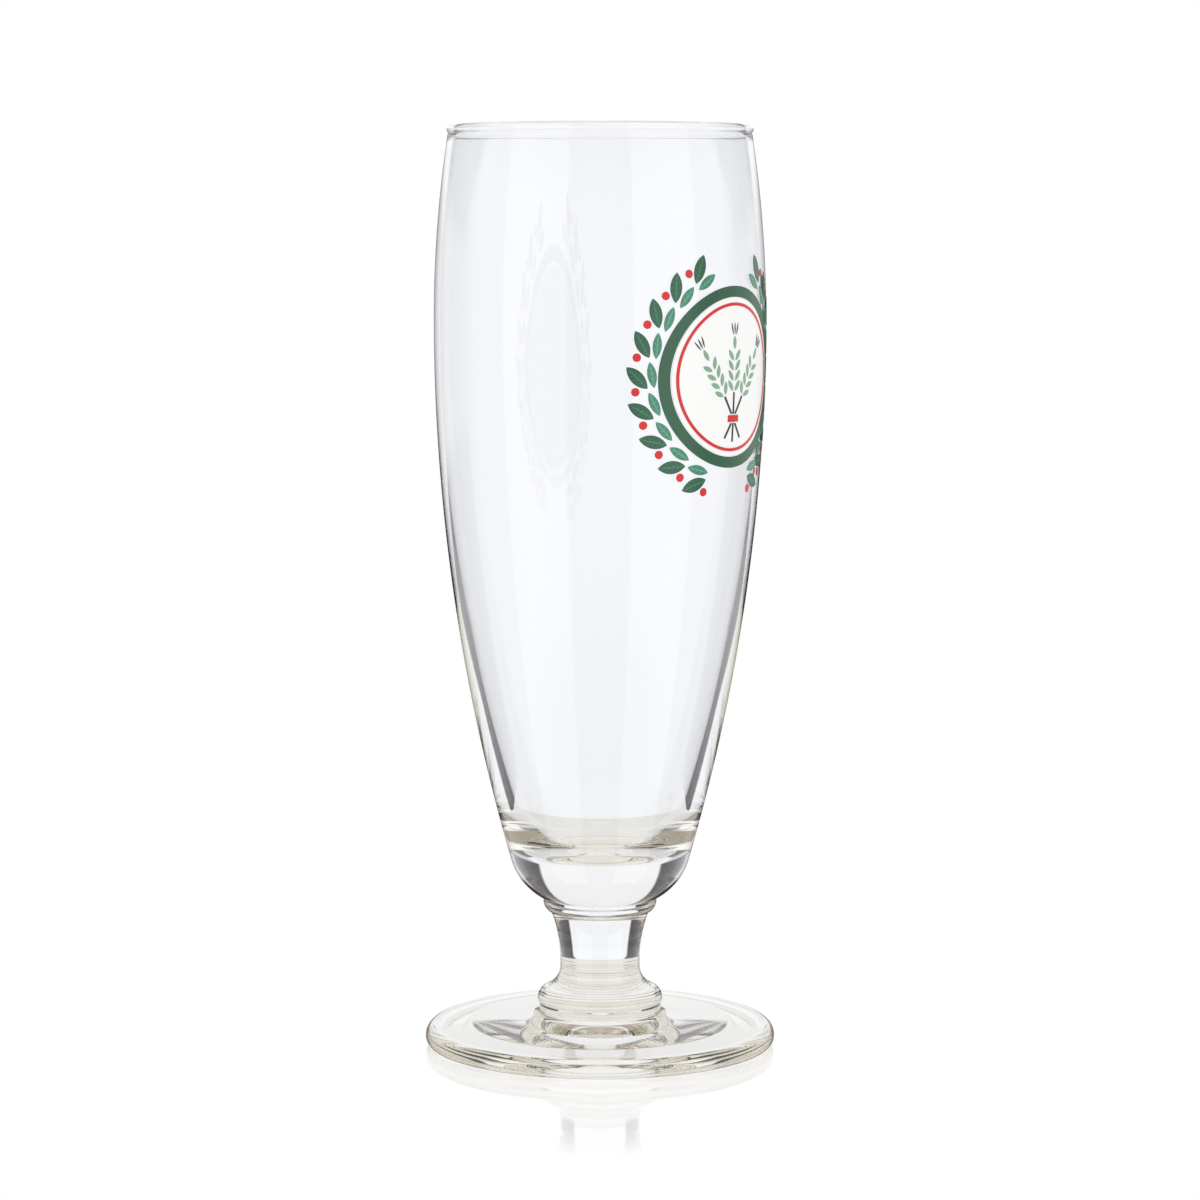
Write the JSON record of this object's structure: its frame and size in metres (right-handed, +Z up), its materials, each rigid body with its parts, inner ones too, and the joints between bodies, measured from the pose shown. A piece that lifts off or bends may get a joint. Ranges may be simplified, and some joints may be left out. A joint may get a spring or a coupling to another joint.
{
  "type": "beer goblet",
  "caption": "Tall slim beer goblet of clear glass: belly and long taper, fire-polished rim, thick base, short waisted stem, round foot and a fired enamel roundel in a wreath of leaves.",
  "frame": {"origin": "middle of the foot's resting ring, on the table", "axes": "+Z up along the goblet's axis, -Y towards the printed roundel"},
  "size_m": [0.072, 0.072, 0.1883],
  "materials": {
    "clear_glass": "clear soda-lime glass, fire polished",
    "white_enamel": "fired glass enamel, satin",
    "dark_green_enamel": "fired glass enamel, satin",
    "mid_green_enamel": "fired glass enamel, satin",
    "light_green_enamel": "fired glass enamel, satin",
    "red_enamel": "fired glass enamel, satin",
    "black_enamel": "fired glass enamel, satin"
  },
  "bodies": {
    "root": {"bowl": "clear_glass", "stem": "clear_glass", "foot": "clear_glass", "ground_print": "white_enamel", "ring_print": "dark_green_enamel", "pinstripe_print": "red_enamel", "grain_print": "light_green_enamel", "stalk_print": "black_enamel", "tie_print": "red_enamel", "leaf_print": "dark_green_enamel", "young_leaf_print": "mid_green_enamel", "berry_print": "red_enamel"}
  },
  "joints": []
}
